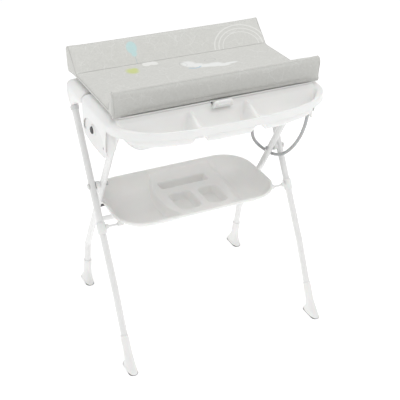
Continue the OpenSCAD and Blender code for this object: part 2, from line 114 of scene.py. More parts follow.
class Look:
    """A node material: Principled shader, textures in the piece's own coordinates."""

    def __init__(self, name):
        self.material = bpy.data.materials.new(name)
        self.material.use_nodes = True
        self.nodes = self.material.node_tree.nodes
        self.links = self.material.node_tree.links
        self.shader = self.nodes["Principled BSDF"]
        self.place = self.nodes.new("ShaderNodeTexCoord").outputs["Object"]

    def link(self, a, b):
        self.links.new(a, b)

    def set(self, **values):
        for key, value in values.items():
            self.shader.inputs[key.replace("_", " ")].default_value = value
        return self

    def noise(self, scale, detail=3, roughness=0.5):
        node = self.nodes.new("ShaderNodeTexNoise")
        node.inputs["Scale"].default_value = scale
        node.inputs["Detail"].default_value = detail
        node.inputs["Roughness"].default_value = roughness
        self.link(self.place, node.inputs["Vector"])
        return node.outputs["Fac"]

    def cells(self, scale, feature="F1", place=None):
        node = self.nodes.new("ShaderNodeTexVoronoi")
        node.feature = feature
        node.inputs["Scale"].default_value = scale
        self.link(place or self.place, node.inputs["Vector"])
        return node.outputs["Distance"]

    def span(self, value, low, high, to_low=0.0, to_high=1.0):
        node = self.nodes.new("ShaderNodeMapRange")
        for i, v in ((1, low), (2, high), (3, to_low), (4, to_high)):
            node.inputs[i].default_value = v
        self.link(value, node.inputs[0])
        return node.outputs[0]

    def math(self, kind, a, b=0.0):
        node = self.nodes.new("ShaderNodeMath")
        node.operation = kind
        for i, v in enumerate((a, b)):
            if isinstance(v, (int, float)):
                node.inputs[i].default_value = v
            else:
                self.link(v, node.inputs[i])
        return node.outputs[0]

    def mix(self, amount, a, b):
        node = self.nodes.new("ShaderNodeMix")
        node.data_type = "RGBA"
        sockets = {"a": node.inputs[6], "b": node.inputs[7]}
        for key, v in (("a", a), ("b", b)):
            if isinstance(v, tuple):
                sockets[key].default_value = (*v, 1)
            else:
                self.link(v, sockets[key])
        if isinstance(amount, (int, float)):
            node.inputs[0].default_value = amount
        else:
            self.link(amount, node.inputs[0])
        return node.outputs[2]

    def colour(self, socket):
        self.link(socket, self.shader.inputs["Base Color"])
        return self

    def rough(self, value):
        self.link(value, self.shader.inputs["Roughness"])
        return self

    def bump(self, height, strength, distance):
        node = self.nodes.new("ShaderNodeBump")
        node.inputs["Strength"].default_value = strength
        node.inputs["Distance"].default_value = distance
        self.link(height, node.inputs["Height"])
        previous = self.shader.inputs["Normal"].links
        if previous:
            self.link(previous[0].from_socket, node.inputs["Normal"])
        self.link(node.outputs[0], self.shader.inputs["Normal"])
        return self


def moulded(name, colour, worn, roughness, grain=0.35, gloss=0.5):
    """Injection moulded plastic: faint flow marks, fine grain, slightly rougher and duller patches."""
    look = Look(name)
    look.set(Specular_IOR_Level=gloss, Subsurface_Weight=0.06, Subsurface_Scale=0.01)
    patches = look.span(look.noise(9, 4), 0.35, 0.7)
    look.colour(look.mix(patches, colour, worn))
    look.rough(look.span(look.noise(55, 5, 0.6), 0.3, 0.7, roughness - 0.06, roughness + 0.08))
    look.bump(look.noise(1900, 2), grain, 0.00012)
    look.bump(look.noise(14, 1), 0.12, 0.0012)
    return look.material


def painted_tube():
    """White powder coat: orange peel, a gloss that varies a little, fine dust."""
    look = Look("powder_coat_white")
    look.set(Specular_IOR_Level=0.5, Coat_Weight=0.35, Coat_Roughness=0.12)
    look.colour(look.mix(look.span(look.noise(30, 5), 0.4, 0.75), (0.85, 0.85, 0.845), (0.81, 0.81, 0.80)))
    look.rough(look.span(look.noise(70, 4), 0.3, 0.7, 0.26, 0.4))
    look.bump(look.cells(420, "SMOOTH_F1"), 0.10, 0.0003)
    look.bump(look.noise(700, 2), 0.08, 0.0002)
    return look.material


def steel():
    """Zinc plated steel with faint turning marks and duller stains."""
    look = Look("plated_steel")
    look.set(Metallic=1.0)
    look.colour(look.mix(look.span(look.noise(60, 5), 0.35, 0.7), (0.62, 0.62, 0.63), (0.45, 0.45, 0.46)))
    look.rough(look.span(look.noise(240, 5, 0.7), 0.3, 0.7, 0.22, 0.42))
    look.bump(look.noise(1500, 2), 0.15, 0.0001)
    return look.material


def rubber(name, colour, dusty):
    look = Look(name)
    look.set(Specular_IOR_Level=0.35, Sheen_Weight=0.15, Sheen_Roughness=0.4)
    look.colour(look.mix(look.span(look.noise(45, 6, 0.65), 0.35, 0.72), colour, dusty))
    look.rough(look.span(look.noise(120, 4), 0.3, 0.7, 0.62, 0.85))
    look.bump(look.noise(1300, 3), 0.4, 0.0002)
    return look.material


def hose_plastic():
    """Soft grey hose: smooth skin with fine rings from the extruder."""
    look = Look("hose_soft_grey")
    look.set(Specular_IOR_Level=0.5, Coat_Weight=0.2, Coat_Roughness=0.25, Subsurface_Weight=0.1,
             Subsurface_Scale=0.004)
    look.colour(look.mix(look.span(look.noise(26, 5), 0.35, 0.7), (0.47, 0.47, 0.475), (0.40, 0.40, 0.405)))
    look.rough(look.span(look.noise(150, 3), 0.3, 0.7, 0.34, 0.5))
    look.bump(look.noise(900, 2), 0.18, 0.0002)
    return look.material


class Print:
    """Masks for a printed pattern, in the pad's own coordinates in metres."""

    def __init__(self, look):
        self.look = look
        split = look.nodes.new("ShaderNodeSeparateXYZ")
        look.link(look.place, split.inputs[0])
        self.x, self.y, self.z = split.outputs

    def ellipse(self, u, v, at, half, soft=0.12):
        """1 inside an ellipse in the plane of two of the coordinates."""
        m = self.look.math
        a = m("DIVIDE", m("SUBTRACT", u, at[0]), half[0])
        b = m("DIVIDE", m("SUBTRACT", v, at[1]), half[1])
        r = m("SQRT", m("ADD", m("MULTIPLY", a, a), m("MULTIPLY", b, b)))
        return self.look.span(r, 1 - soft, 1 + soft, 1, 0), r

    def ring(self, u, v, at, half, width):
        """1 on an ellipse's line."""
        r = self.ellipse(u, v, at, half)[1]
        off = self.look.math("ABSOLUTE", self.look.math("SUBTRACT", r, 1.0))
        return self.look.span(off, width, width * 1.6, 1, 0)

    def above(self, value, level):
        return self.look.span(value, level - 0.001, level + 0.001)

    def any(self, *masks):
        total = masks[0]
        for m in masks[1:]:
            total = self.look.math("MAXIMUM", total, m)
        return total

    def all(self, *masks):
        total = masks[0]
        for m in masks[1:]:
            total = self.look.math("MULTIPLY", total, m)
        return total


def tint(look, cloth, mask, colour, strength):
    """Lays a colour over the cloth where the mask is 1: the prints, and the painted shade on the front face.
    """
    return look.mix(look.math("MULTIPLY", mask, strength), cloth, colour)


def melange(look):
    """Grey melange with pale scribbled outlines all over, in the fabric's own tone."""
    blend = look.span(look.noise(130, 6, 0.75), 0.36, 0.66)
    cloth = look.mix(blend, (0.615, 0.615, 0.587), (0.68, 0.68, 0.652))
    bend = look.nodes.new("ShaderNodeVectorMath")
    bend.operation = "MULTIPLY_ADD"
    wobble = look.nodes.new("ShaderNodeTexNoise")
    wobble.inputs["Scale"].default_value = 26
    look.link(look.place, wobble.inputs["Vector"])
    look.link(wobble.outputs["Color"], bend.inputs[0])
    bend.inputs[1].default_value = (0.022, 0.022, 0.022)
    look.link(look.place, bend.inputs[2])
    lines = look.span(look.cells(24, "DISTANCE_TO_EDGE", bend.outputs[0]), 0.012, 0.035, 1, 0)
    gaps = look.span(look.noise(19, 2), 0.47, 0.56)
    return tint(look, cloth, look.math("MULTIPLY", lines, gaps), (0.76, 0.76, 0.74), 0.5)


def rear_print(look, p, cloth, rear):
    """Balloon with its string, and three pale arcs, on the rear bolster."""
    balloon = p.ellipse(p.x, p.z, (-0.146, 0.988), (0.019, 0.0165))[0]
    knot = p.ellipse(p.x, p.z, (-0.143, 0.971), (0.010, 0.008), 0.3)[0]
    cloth = tint(look, cloth, p.all(rear, p.any(balloon, knot)), (0.50, 0.73, 0.74), 0.75)
    string_off = look.math("ABSOLUTE", look.math("SUBTRACT", p.x, -0.142))
    string = p.all(look.span(string_off, 0.0006, 0.0014, 1, 0), look.span(p.z, 0.962, 0.964, 1, 0))
    cloth = look.mix(p.all(rear, string), cloth, (0.50, 0.57, 0.57))
    upper = p.above(p.z, 0.945)
    arcs = p.any(*[p.ring(p.x, p.z, (0.262, 0.945), half, 0.018)
                   for half in ((0.104, 0.060), (0.088, 0.050), (0.072, 0.040))])
    return tint(look, cloth, p.all(rear, upper, arcs), (0.86, 0.86, 0.84), 0.55)


def base_print(look, p, cloth, base):
    """Cloud and drop at the left, and pale leaves, thin circles and a blue curve in the middle."""
    cloud = p.any(
        p.ellipse(p.x, p.y, (-0.116, 0.132), (0.014, 0.016))[0],
        p.ellipse(p.x, p.y, (-0.101, 0.142), (0.016, 0.019))[0],
        p.ellipse(p.x, p.y, (-0.088, 0.130), (0.014, 0.015))[0],
    )
    cloth = tint(look, cloth, p.all(base, cloud), (0.84, 0.84, 0.82), 0.85)
    drop = p.any(
        p.ellipse(p.x, p.y, (-0.182, 0.094), (0.020, 0.024), 0.35)[0],
        p.ellipse(p.x, p.y, (-0.170, 0.104), (0.012, 0.015), 0.35)[0],
    )
    cloth = tint(look, cloth, p.all(base, drop), (0.60, 0.67, 0.20), 0.8)
    leaves = p.any(
        *[p.ellipse(p.x, p.y, at, half, 0.25)[0] for at, half in (
            ((0.016, 0.072), (0.024, 0.028)), ((0.040, 0.050), (0.022, 0.018)),
            ((0.066, 0.036), (0.028, 0.014)), ((0.096, 0.032), (0.030, 0.018)),
            ((0.124, 0.018), (0.024, 0.012)), ((0.152, 0.024), (0.028, 0.007)))])
    cloth = tint(look, cloth, p.all(base, leaves), (0.86, 0.87, 0.86), 0.85)
    rings = p.any(
        p.ring(p.x, p.y, (-0.002, 0.078), (0.012, 0.020), 0.06),
        p.ring(p.x, p.y, (0.100, 0.078), (0.020, 0.012), 0.06))
    cloth = tint(look, cloth, p.all(base, rings), (0.34, 0.35, 0.36), 0.35)
    curve = p.all(p.ring(p.x, p.y, (0.024, 0.058), (0.028, 0.030), 0.08), look.span(p.y, 0.036, 0.042, 1, 0))
    return tint(look, cloth, p.all(base, curve), (0.42, 0.58, 0.70), 0.8)


def pad_vinyl():
    """Wipeable coated fabric: grey melange, a few soft printed shapes, a painted shade darkening the front
    face, fine woven bump.
    """
    look = Look("coated_fabric_print")
    look.set(Specular_IOR_Level=0.3, Sheen_Weight=0.12, Sheen_Roughness=0.5)
    p = Print(look)
    weave = look.noise(520, 3, 0.7)
    cloth = rear_print(look, p, melange(look), p.above(p.y, 0.145))
    base = p.all(look.span(p.y, 0.146, 0.148, 1, 0), p.above(p.y, -0.150))
    cloth = base_print(look, p, cloth, base)
    # painted shade: the front bolster's front face is darkened, standing in for the weaker light that falls on
    # it
    front = p.all(look.span(p.y, -0.196, -0.192, 1, 0), look.span(p.z, 1.006, 1.012, 1, 0))
    cloth = tint(look, cloth, front, (0.02, 0.02, 0.02), 0.14)
    look.colour(cloth)
    look.rough(look.span(weave, 0.3, 0.7, 0.52, 0.68))
    look.bump(weave, 0.35, 0.0003)
    look.bump(look.noise(2200, 1), 0.2, 0.0001)
    look.bump(look.noise(7, 3), 0.25, 0.004)
    return look.material


WHITE = moulded("moulded_white", (0.88, 0.88, 0.87), (0.85, 0.85, 0.84), 0.36)
TRAY_WHITE = moulded("moulded_tray_white", (0.90, 0.90, 0.885), (0.875, 0.875, 0.86), 0.42)
PANEL = moulded("moulded_panel_grey", (0.84, 0.84, 0.83), (0.80, 0.80, 0.79), 0.42)
DARK = moulded("moulded_dark", (0.075, 0.075, 0.08), (0.11, 0.11, 0.115), 0.40)
COLLAR = moulded("moulded_collar_grey", (0.74, 0.74, 0.74), (0.68, 0.68, 0.68), 0.42)
PAINT = painted_tube()
STEEL = steel()
SOLE = rubber("sole_rubber_dark", (0.13, 0.13, 0.13), (0.20, 0.195, 0.19))
HOSE = hose_plastic()
VINYL = pad_vinyl()
SEAM = rubber("seam_binding_grey", (0.50, 0.50, 0.48), (0.56, 0.56, 0.54))


# ---------------------------------------------------------------- mesh helpers

def new_piece(name, verts, faces, body, material, replaces=()):
    """A smooth shaded mesh object from points in mm."""
    mesh = bpy.data.meshes.new(name)
    mesh.from_pydata([tuple(c * MM for c in v) for v in verts], [], faces)
    mesh.validate()
    obj = bpy.data.objects.new(name, mesh)
    bpy.context.scene.collection.objects.link(obj)
    finish_piece(obj, body, material, replaces)
    return obj


def finish_piece(obj, body, material, replaces=()):
    obj.data.materials.clear()
    obj.data.materials.append(material)
    obj.data.polygons.foreach_set("use_smooth", [True] * len(obj.data.polygons))
    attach(obj, body)
    if replaces:
        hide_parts(*replaces)


def outward(obj):
    """Makes the faces of a closed mesh point outward."""
    bm = bmesh.new()
    bm.from_mesh(obj.data)
    bmesh.ops.recalc_face_normals(bm, faces=bm.faces)
    bm.to_mesh(obj.data)
    bm.free()
    return obj


def bevel(obj, width, segments=3, angle=35):
    mod = obj.modifiers.new("edges", "BEVEL")
    mod.width = width * MM
    mod.segments = segments
    mod.limit_method = "ANGLE"
    mod.angle_limit = math.radians(angle)
    mod.harden_normals = True
    return obj


def loft(name, rings, body, material, replaces=(), caps=True):
    """Closed rings of equal length joined into a skin."""
    n = len(rings[0])
    verts = [p for ring in rings for p in ring]
    faces = [(i * n + k, i * n + (k + 1) % n, (i + 1) * n + (k + 1) % n, (i + 1) * n + k)
             for i in range(len(rings) - 1) for k in range(n)]
    if caps:
        faces.append(tuple(reversed(range(n))))
        faces.append(tuple((len(rings) - 1) * n + k for k in range(n)))
    return outward(new_piece(name, verts, faces, body, material, replaces))


def plate(name, outline, x, body, material, replaces=(), edge=2.0, segments=3):
    """A [y, z] outline made thick between two x values, with rounded edges."""
    n = len(outline)
    verts = [(x[0], y, z) for y, z in outline] + [(x[1], y, z) for y, z in outline]
    faces = [tuple(range(n)), tuple(range(2 * n - 1, n - 1, -1))]
    faces += [(k, n + k, n + (k + 1) % n, (k + 1) % n) for k in range(n)]
    return bevel(outward(new_piece(name, verts, faces, body, material, replaces)), edge, segments)


def lathe(name, profile, centre, axis, body, material, replaces=(), steps=48):
    """A profile of (radius, height) pairs turned about an axis through a point."""
    turn = Vector(axis).to_track_quat("Z", "Y").to_matrix()
    rings = [[Vector(centre) + turn @ Vector((r * math.cos(a), r * math.sin(a), h))
              for a in (2 * math.pi * k / steps for k in range(steps))] for r, h in profile]
    return loft(name, rings, body, material, replaces)


def rounded_corner(before, at, after, radius, steps=6):
    """Arc that replaces a corner of a polygon."""
    a, p, b = (np.array(q, float) for q in (before, at, after))
    u = (a - p) / np.linalg.norm(a - p)
    v = (b - p) / np.linalg.norm(b - p)
    half = math.acos(np.clip(u @ v, -1, 1)) / 2
    cut = radius / math.tan(half)
    centre = p + (u + v) / np.linalg.norm(u + v) * radius / math.sin(half)
    start, end = p + u * cut - centre, p + v * cut - centre
    sweep = math.atan2(start[0] * end[1] - start[1] * end[0], start @ end)
    first = math.atan2(start[1], start[0])
    return [tuple(centre + radius * np.array((math.cos(first + sweep * k / steps),
                                              math.sin(first + sweep * k / steps))))
            for k in range(steps + 1)]


def rounded_polygon(points, radii, steps=6):
    n = len(points)
    made = []
    for i in range(n):
        if radii[i] <= 0:
            made.append(points[i])
        else:
            made += rounded_corner(points[i - 1], points[i], points[(i + 1) % n], radii[i], steps)
    return made


def distance_in(polygon, points):
    """For each point: distance inside the polygon (negative outside), and the nearest point on its edge."""
    a = np.array(polygon, float)
    b = np.roll(a, -1, axis=0)
    d = b - a
    best = np.full(len(points), 1e12)
    near = np.zeros((len(points), 2))
    inside = np.zeros(len(points), bool)
    for p, q, e in zip(a, b, d):
        t = np.clip(((points - p) @ e) / max(e @ e, 1e-9), 0, 1)
        c = p + t[:, None] * e
        gap = ((points - c) ** 2).sum(1)
        closer = gap < best
        best[closer] = gap[closer]
        near[closer] = c[closer]
        crosses = (p[1] > points[:, 1]) != (q[1] > points[:, 1])
        with np.errstate(divide="ignore", invalid="ignore"):
            at = p[0] + (points[:, 1] - p[1]) * e[0] / e[1]
        inside ^= crosses & (points[:, 0] < at)
    return np.where(inside, 1, -1) * np.sqrt(best), near


def ease(t):
    t = np.clip(t, 0, 1)
    return t * t * (3 - 2 * t)


def soft_min(values, k):
    """Smallest of several arrays with rounded meeting lines, k wide."""
    low = values[0]
    for v in values[1:]:
        h = np.clip(0.5 + 0.5 * (v - low) / k, 0, 1)
        low = v * (1 - h) + low * h - k * h * (1 - h)
    return low


def edge_loop(quads):
    """Indices of the points round the edge of a sheet of faces, in order."""
    edges = {(quad[k], quad[(k + 1) % 4]) for quad in quads for k in range(4)}
    follow = {a: b for a, b in edges if (b, a) not in edges}
    loop = [min(follow)]
    while follow[loop[-1]] != loop[0]:
        loop.append(follow[loop[-1]])
    return np.array(loop)


def moulded_sheet(outline, step, inset, height, edge_rings):
    """Points and faces of a moulded shell: a height over the outline, then rings round its edge.
    height(x, y, inside) gives z; each edge ring is a function of (x, y, z) giving (inset, z)."""
    lo, hi = np.min(outline, 0), np.max(outline, 0)
    nx, ny = (int(math.ceil((hi[i] - lo[i]) / step)) + 1 for i in (0, 1))
    gx, gy = np.meshgrid(np.linspace(lo[0], hi[0], nx), np.linspace(lo[1], hi[1], ny), indexing="ij")
    flat = np.stack([gx.ravel(), gy.ravel()], 1)
    inside, near = distance_in(outline, flat)
    ok = (inside > inset - 0.55 * step).reshape(nx, ny)
    cell = ok[:-1, :-1] & ok[1:, :-1] & ok[1:, 1:] & ok[:-1, 1:]
    index = np.arange(nx * ny).reshape(nx, ny)
    quads = np.stack([index[:-1, :-1][cell], index[1:, :-1][cell], index[1:, 1:][cell],
                      index[:-1, 1:][cell]], 1)
    used, quads = np.unique(quads, return_inverse=True)
    quads = quads.reshape(-1, 4)
    xy, near, inside = flat[used], near[used], inside[used]
    loop = edge_loop(quads.tolist())
    inward = xy[loop] - near[loop]
    inward /= np.linalg.norm(inward, axis=1)[:, None]
    xy[loop] = near[loop] + inward * inset
    inside[loop] = inset
    z = height(xy[:, 0], xy[:, 1], inside)
    verts = [np.column_stack([xy, z])]
    faces = [tuple(q) for q in quads.tolist()]
    last, count = loop, len(xy)
    for ring in edge_rings:
        d, rz = ring(xy[loop, 0], xy[loop, 1], z[loop])
        place = near[loop] + inward * np.reshape(d, (-1, 1)) * np.ones((len(loop), 1))
        verts.append(np.column_stack([place, rz]))
        now = count + np.arange(len(loop))
        count += len(loop)
        for k in range(len(loop)):
            n = (k + 1) % len(loop)
            faces.append((int(last[n]), int(last[k]), int(now[k]), int(now[n])))
        last = now
    return np.concatenate(verts), faces


def thicken(obj, thickness):
    mod = obj.modifiers.new("wall", "SOLIDIFY")
    mod.thickness = thickness * MM
    mod.offset = -1
    mod.use_even_offset = False
    return obj


def smooth_heights(obj, factor=0.5, repeat=2):
    bm = bmesh.new()
    bm.from_mesh(obj.data)
    inner = [v for v in bm.verts if not v.is_boundary]
    for _ in range(repeat):
        bmesh.ops.smooth_vert(bm, verts=inner, factor=factor, use_axis_x=False, use_axis_y=False,
                              use_axis_z=True)
    bm.to_mesh(obj.data)
    bm.free()


# ---------------------------------------------------------------- drain hose, first of the pieces

HOSE_ROUTE = [
    [191, 20, 694], [210, 22, 693], [231, 30, 686], [250, 43, 673], [266, 58, 655],
    [278, 75, 634], [289, 91, 611], [301, 102, 588], [316, 107, 566], [331, 100, 549],
    [345, 82, 538], [352, 57, 536], [352, 32, 543], [351, 7, 553], [351, -17, 565],
    [351, -41, 581], [351, -64, 600], [351, -86, 622], [351, -107, 646], [351, -126, 672],
    [351, -143, 699], [351, -157, 728], [351, -168, 758], [351, -175, 789], [351, -177, 820],
    [351, -177, 866]]


def drain_hose():
    data = bpy.data.curves.new("drain_hose_skin", "CURVE")
    data.dimensions = "3D"
    spline = data.splines.new("BEZIER")
    spline.bezier_points.add(len(HOSE_ROUTE) - 1)
    for point, place in zip(spline.bezier_points, HOSE_ROUTE):
        point.co = Vector(place) * MM
        point.handle_left_type = point.handle_right_type = "AUTO"
    data.bevel_depth = HOSE_R * MM
    data.bevel_resolution = 8
    data.resolution_u = 8
    hose = bpy.data.objects.new("drain_hose_skin", data)
    bpy.context.scene.collection.objects.link(hose)
    data.materials.append(HOSE)
    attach(hose, "tub")
    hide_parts("drain_hose")


drain_hose()


# ---------------------------------------------------------------- tub

def rim_point(t):
    """Bulging front of the rim."""
    power = 2 / RIM_POWER
    return (math.copysign(TUB_HALF_W * abs(math.cos(t)) ** power, math.cos(t)),
            SIDE_CURVE_Y - FRONT_BULGE * abs(math.sin(t)) ** power)


def rim_outline():
    front = [rim_point(math.radians(a)) for a in range(0, 181, 3)]
    w, r = TUB_HALF_W, TUB_REAR_HALF_W
    rest = [(-w, TUB_STEP_Y), (-r, TUB_STEP_Y), (-r, TUB_REAR_Y), (r, TUB_REAR_Y), (r, TUB_STEP_Y),
            (w, TUB_STEP_Y)]
    return rounded_polygon(front + rest, [0] * len(front) + [5, 5, 22, 22, 5, 5])


def shoulder(x, y):
    """1 along the tub's broad round sides, 0 round the front and the rear."""
    return ease((y + 214) / 50) * ease((56 - y) / 4) * ease((np.abs(x) - 300) / 30)


def edge_radius(x, y):
    """Radius of the rim's outer edge: broad along the sides, tight round the front."""
    return 5 + 27 * shoulder(x, y)


def compartments(x, y, inside, z):
    """Lowers the three compartments in the bulging front."""
    ends = [-352, DIVIDERS[0] - 4, DIVIDERS[0] + 4, DIVIDERS[1] - 4, DIVIDERS[1] + 4, 352]
    rim = 7 + 14 * ease((np.abs(x) - 280) / 60)
    along = x + DIVIDER_LEAN * ease((-215 - y) / 110)
    depth = np.zeros_like(x)
    for a, b in zip(ends[::2], ends[1::2]):
        e = soft_min([(inside - rim) / 15, (POCKET_BACK_Y - y) / 36, (along - a) / 20, (b - along) / 32], 0.35)
        depth = np.maximum(depth, ease(e + 0.05))
    z = z - DIVIDER_DROP * ease((-225 - y) / 90) * ease((inside - rim) / 15) * (1 - depth)
    return z - (z - POCKET_FLOOR_Z) * depth


def latch_notch(x, y, z):
    """Notch in the deck for the pad's latch."""
    notch = ease((31 - np.abs(x)) / 3) * ease((y + 230) / 6) * ease((-150 - y) / 6)
    return np.where((notch > 0) & (z > RIM_Z), RIM_Z + (z - RIM_Z) * (1 - notch), z)


def tub_height(x, y, inside):
    """Top of the tub: rim, deck, basin and compartments."""
    # raised deck under the pad, and the rim with its rounded outer edge
    deck = soft_min([(y - DECK_Y[0]) / 6, (DECK_Y[1] - y) / 6, (inside - 27) / 6], 0.5)
    side = shoulder(x, y)
    top = RIM_Z + (DECK_Z - RIM_Z) * np.maximum(ease(deck), side)
    r = edge_radius(x, y)
    into = np.clip(r - inside, 0, r)
    z = top - (r - np.sqrt(np.maximum(r * r - into * into, 0)))
    # the basin
    hw, y0, y1 = BASIN_TOP
    fw, f0, f1 = BASIN_FLOOR
    t = soft_min([(hw - np.abs(x)) / (hw - fw), (y - y0) / (f0 - y0), (y1 - y) / (y1 - f1)], 0.55)
    down = np.clip((t - 0.02) / 0.98, 0, 1)
    down = 0.82 * down + 0.18 * ease(down)
    floor_blend = ease((t - 0.86) / 0.2)
    z = z - (DECK_Z - BASIN_Z) * np.where(t > 0.02, down, 0)
    z = z + (BASIN_Z - z) * floor_blend * (t > 0.86)
    return latch_notch(x, y, compartments(x, y, inside, z))


def arch_z(y):
    """Lower edge of the tub's side: an arch over the side panel."""
    u = np.clip(np.abs(y + 61) / 98, 0, 1)
    return 796 + 60 * (1 - u ** 2.6) ** (1 / 2.6)


def low_edge(x, y):
    side = (np.abs(x) > 365) & (y < TUB_STEP_Y + 4)
    front = ease((-168 - y) / 14)
    z = np.where(side, arch_z(y), BAND_Z + 3.0)
    return np.where(side, z * (1 - front) + BAND_Z * front, np.where(y < -150, BAND_Z, z))


def edge_ring(share, d):
    """A ring on the way down from the rim's edge to its lower edge, at a share of the height.
    d is its inset along the broad round sides and round the front."""
    def ring(x, y, z):
        low = low_edge(x, y)
        inset = np.where(edge_radius(x, y) > 12, d[0], d[1])
        return inset, z + (low - z) * share
    return ring


def bath_tub():
    rings = [edge_ring(0.05, (1.2, 0.8)), edge_ring(0.12, (0.5, 0.2)), edge_ring(0.22, (0, 0)),
             edge_ring(0.4, (0, 0)), edge_ring(0.6, (0, 0)), edge_ring(0.8, (0, 0)),
             edge_ring(0.93, (0, 0)), edge_ring(0.985, (0.4, 0.4)), edge_ring(1.0, (1.5, 1.5))]
    verts, faces = moulded_sheet(rim_outline(), 2.6, 2.2, tub_height, rings)
    tub = new_piece("tub_shell", verts, faces, "tub", WHITE,
                    ["tub_rim", "tub_basin", "front_compartments"])
    smooth_heights(tub)
    thicken(tub, WALL)


bath_tub()


def band_bead():
    """Strengthening bead along the lower edge of the front band."""
    pts = np.array(rim_outline())
    front = pts[pts[:, 1] < -168]
    rings = []
    for x, y in front[np.argsort(front[:, 0])]:
        n = np.array([x, y]) - np.array([0, -150.0])
        n /= np.linalg.norm(n)
        ring = []
        for k in range(8):
            a = 2 * math.pi * k / 8
            off = math.cos(a) - 0.4
            ring.append((x + n[0] * off, y + n[1] * off, BAND_Z + 2 + 1.3 * math.sin(a)))
        rings.append(ring)
    loft("rim_band_bead", rings, "tub", WHITE)


band_bead()


# ---------------------------------------------------------------- tray

ISLAND = [(-78, 240), (-100, 175), (-118, 110), (-126, 45), (-121, -20), (-107, -55), (-86, -86),
          (-50, -104), (120, -104), (150, -60), (166, 20), (172, 110), (168, 240)]
TRAY_POCKETS = [((-76, 106, 114, 154), 9), ((-74, -60, 10, 62), 22), ((42, -60, 116, 60), 22)]


def box_distance(x, y, box, r):
    """Distance inside a rectangle with round corners."""
    cx, cy = (box[0] + box[2]) / 2, (box[1] + box[3]) / 2
    qx = np.abs(x - cx) - (box[2] - box[0]) / 2 + r
    qy = np.abs(y - cy) - (box[3] - box[1]) / 2 + r
    outside = np.hypot(np.maximum(qx, 0), np.maximum(qy, 0))
    return r - outside - np.minimum(np.maximum(qx, qy), 0)


def tray_outline():
    w = TRAY_HALF_W
    y0, y1 = TRAY_Y
    return rounded_polygon([(-w, y0), (w, y0), (w, y1), (-w, y1)], [112, 112, 118, 104], 16)


def tray_height(x, y, inside):
    t = np.clip((inside - 9) / 74, 0, 1)
    bowl = TRAY_Z - TRAY_DEPTH * (1 - (1 - t) ** 2.6)
    bowl = np.where(inside < 9, TRAY_Z + 0.8 * np.sin(np.pi * np.clip(inside / 9, 0, 1)), bowl)
    island, _ = distance_in(rounded_polygon(ISLAND, [0] + [18] * 11 + [0], 4), np.stack([x, y], 1))
    left = ease((island + 1) / 6)
    right = ease((island + 34) / 52)
    blend = ease((x + 20) / 120)
    rise = left * (1 - blend) + right * blend
    top = TRAY_Z - 13 + 1.5 * ease((y - 60) / 120)
    z = np.where(bowl < top, bowl + (top - bowl) * rise, bowl)
    for box, r in TRAY_POCKETS:
        e = ease((box_distance(x, y, box, r) + 1.0) / 6)
        z = z - (z - (TRAY_Z - TRAY_POCKET_DEPTH)) * e
    return z


def storage_tray():
    def ring(d, dz):
        return lambda x, y, z: (d, np.full_like(x, TRAY_Z + dz))
    rings = [ring(1.0, -0.6), ring(0.2, -1.8), ring(0, -4), ring(0, -8), ring(0.3, -10.4), ring(1.5, -11)]
    verts, faces = moulded_sheet(tray_outline(), 2.3, 2.5, tray_height, rings)
    tray = new_piece("tray_shell", verts, faces, "tray", TRAY_WHITE, ["storage_tray"])
    smooth_heights(tray)
    thicken(tray, 2.6)
    for side in (-1, 1):
        lathe(f"tray_boss_{'left' if side < 0 else 'right'}",
              [(3, 0), (8.2, 0), (9, 0.8), (9, 19), (8.2, 20), (4.4, 20), (4.2, 12)],
              (side * 291, front_leg_y(450), 450), (side, 0, 0), "tray", TRAY_WHITE)


storage_tray()


# ---------------------------------------------------------------- feet

def boot(name, x, y, top_y, body, node):
    """Boot: long rounded sole that narrows up to a collar round the leaning tube."""
    rings = []
    steps = 48
    lean = math.atan2(top_y - y, 100)
    levels = [0, 0.012, 0.05, 0.085, 0.11, 0.16, 0.24, 0.34, 0.46, 0.6, 0.74, 0.86, 0.93, 0.945, 0.965,
              0.985, 1.0]
    for t in levels:
        flat = max(0.0, 1 - t / 0.55) ** 2.0
        half_len = 15.2 + 30.8 * flat ** 0.85
        half_wid = 15.2 + 3.8 * flat ** 0.8
        if t == 0:
            half_len, half_wid = half_len - 0.8, half_wid - 0.8
        if 0.085 < t <= 0.11:
            half_len, half_wid = half_len - 1.6, half_wid - 1.2
        if 0.93 <= t <= 0.945:
            half_len, half_wid = half_len - 1.2, half_wid - 1.2
        if t == 1.0:
            half_len, half_wid = half_len - 1.0, half_wid - 1.0
        power = 2 / (2 + 0.5 * flat)
        centre_y = y + (top_y - y) * max(0.0, (t * 114 - 14) / 100)
        tilt = lean * ease(t / 0.8)
        ring = []
        for k in range(steps):
            a = 2 * math.pi * k / steps
            u = half_wid * math.copysign(abs(math.cos(a)) ** power, math.cos(a))
            v = half_len * math.copysign(abs(math.sin(a)) ** power, math.sin(a))
            ring.append((x + u, centre_y + v * math.cos(tilt), 4 + 110 * t - v * math.sin(tilt)))
        rings.append(ring)
    loft(name, rings, body, WHITE, [node])


FRONT_FOOT_Y = -273
REAR_FOOT_Y = 294
front_top_y = FRONT_FOOT_Y + (front_leg_y(260) - FRONT_FOOT_Y) * 100 / 246
rear_top_y = REAR_FOOT_Y + (rear_leg_y(200) - REAR_FOOT_Y) * 100 / 186
for side, word in ((-1, "left"), (1, "right")):
    boot(f"{word}_front_boot", side * FRONT_LEG_X, FRONT_FOOT_Y, front_top_y,
         "front_frame", f"{word}_front_foot")
    boot(f"{word}_rear_boot", side * REAR_LEG_X, REAR_FOOT_Y, rear_top_y,
         "rear_frame", f"{word}_rear_foot")


# ---------------------------------------------------------------- arms, brackets, panels, buttons

